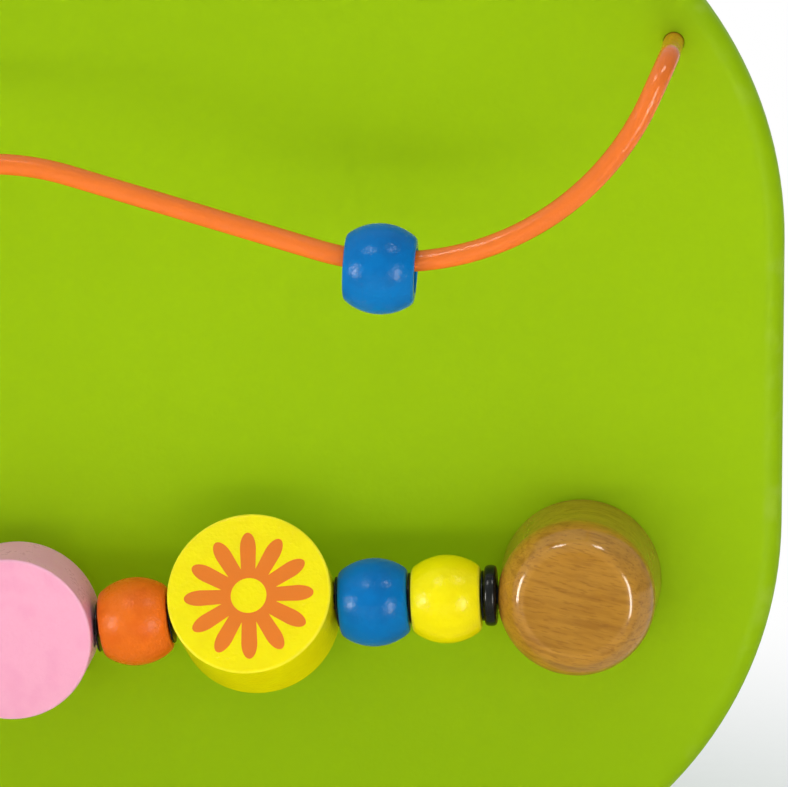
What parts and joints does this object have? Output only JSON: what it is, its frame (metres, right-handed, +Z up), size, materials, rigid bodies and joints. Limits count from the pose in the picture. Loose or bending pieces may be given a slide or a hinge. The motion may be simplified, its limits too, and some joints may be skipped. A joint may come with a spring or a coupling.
{
  "type": "activity board",
  "caption": "Wall activity board: turned beads and discs spin on a cord between wooden posts, and more beads slide in the valleys of a bent wire above them.",
  "frame": {"origin": "middle of the board's back face, which lies against the wall", "axes": "+Z up the wall, +X to the right seen from the front, +Y from the front into the wall"},
  "size_m": [0.286, 0.0602, 0.2026],
  "materials": {
    "green_lacquer": "satin lacquer",
    "varnished_wood": "clear gloss varnish",
    "orange_lacquer": "satin lacquer",
    "blue_lacquer": "satin lacquer",
    "yellow_lacquer": "satin lacquer",
    "pink_lacquer": "satin lacquer",
    "orange_coating": "plastic coated",
    "black_rubber": "smooth",
    "black_cord": "woven elastic",
    "plated_steel": "zinc plated",
    "brass": "plain"
  },
  "bodies": {
    "board": {"base_board": "green_lacquer", "post_left": "varnished_wood", "post_right": "varnished_wood", "post_screw_left": "plated_steel", "post_screw_right": "plated_steel", "hanger_plate_left": "plated_steel", "hanger_plate_right": "plated_steel", "hanger_screw_left_lower": "plated_steel", "hanger_screw_left_upper": "plated_steel", "hanger_screw_right_lower": "plated_steel", "hanger_screw_right_upper": "plated_steel", "bead_cord": "black_cord", "cord_ferrule_left": "brass", "cord_ferrule_right": "brass", "stop_ring_left": "black_rubber", "stop_ring_right": "black_rubber", "stop_ring_washer_left": "black_rubber", "stop_ring_washer_right": "black_rubber", "yellow_bead_washer_left": "black_rubber", "yellow_bead_washer_right": "black_rubber", "blue_bead_washer_left": "black_rubber", "blue_bead_washer_right": "black_rubber", "flower_disc_washer_left": "black_rubber", "flower_disc_washer_right": "black_rubber", "orange_bead_washer_left": "black_rubber", "orange_bead_washer_right": "black_rubber", "bead_wire": "orange_coating"},
    "yellow_bead_left": {"yellow_bead_left": "yellow_lacquer"},
    "blue_bead_left": {"blue_bead_left": "blue_lacquer"},
    "flower_disc_left": {"flower_disc_left": "yellow_lacquer"},
    "orange_bead_left": {"orange_bead_left": "orange_lacquer"},
    "centre_disc": {"centre_disc": "pink_lacquer"},
    "orange_bead_right": {"orange_bead_right": "orange_lacquer"},
    "flower_disc_right": {"flower_disc_right": "yellow_lacquer"},
    "blue_bead_right": {"blue_bead_right": "blue_lacquer"},
    "yellow_bead_right": {"yellow_bead_right": "yellow_lacquer"},
    "wire_bead_left": {"wire_bead_left": "blue_lacquer"},
    "wire_bead_right": {"wire_bead_right": "blue_lacquer"}
  },
  "joints": [
    {"name": "yellow_bead_left_spin", "type": "hinge", "parent": "board", "child": "yellow_bead_left", "pos_m": [-0.0811, -0.03048, -0.03822], "axis": [0.999, 0, -0.044], "continuous": true},
    {"name": "blue_bead_left_spin", "type": "hinge", "parent": "board", "child": "blue_bead_left", "pos_m": [-0.06758, -0.03048, -0.039], "axis": [0.9975, 0, -0.0707], "continuous": true},
    {"name": "flower_disc_left_spin", "type": "hinge", "parent": "board", "child": "flower_disc_left", "pos_m": [-0.04509, -0.03048, -0.03963], "axis": [0.9937, 0, -0.1117], "continuous": true},
    {"name": "orange_bead_left_spin", "type": "hinge", "parent": "board", "child": "orange_bead_left", "pos_m": [-0.0229, -0.03048, -0.04323], "axis": [0.991, 0, -0.134], "continuous": true},
    {"name": "centre_disc_spin", "type": "hinge", "parent": "board", "child": "centre_disc", "pos_m": [0, -0.03048, -0.04521], "axis": [1, 0, 0], "continuous": true},
    {"name": "orange_bead_right_spin", "type": "hinge", "parent": "board", "child": "orange_bead_right", "pos_m": [0.0229, -0.03048, -0.04323], "axis": [0.991, 0, 0.134], "continuous": true},
    {"name": "flower_disc_right_spin", "type": "hinge", "parent": "board", "child": "flower_disc_right", "pos_m": [0.04509, -0.03048, -0.03963], "axis": [0.9937, 0, 0.1117], "continuous": true},
    {"name": "blue_bead_right_spin", "type": "hinge", "parent": "board", "child": "blue_bead_right", "pos_m": [0.06758, -0.03048, -0.039], "axis": [0.9975, 0, 0.0707], "continuous": true},
    {"name": "yellow_bead_right_spin", "type": "hinge", "parent": "board", "child": "yellow_bead_right", "pos_m": [0.0811, -0.03048, -0.03822], "axis": [0.999, 0, 0.044], "continuous": true},
    {"name": "wire_bead_left_slide", "type": "hinge", "parent": "board", "child": "wire_bead_left", "pos_m": [-0.0731, -0.052, 0.07725], "axis": [0, -1, 0], "range_deg": [-60, 13]},
    {"name": "wire_bead_right_slide", "type": "hinge", "parent": "board", "child": "wire_bead_right", "pos_m": [0.0731, -0.052, 0.07725], "axis": [0, -1, 0], "range_deg": [-13, 60]}
  ]
}
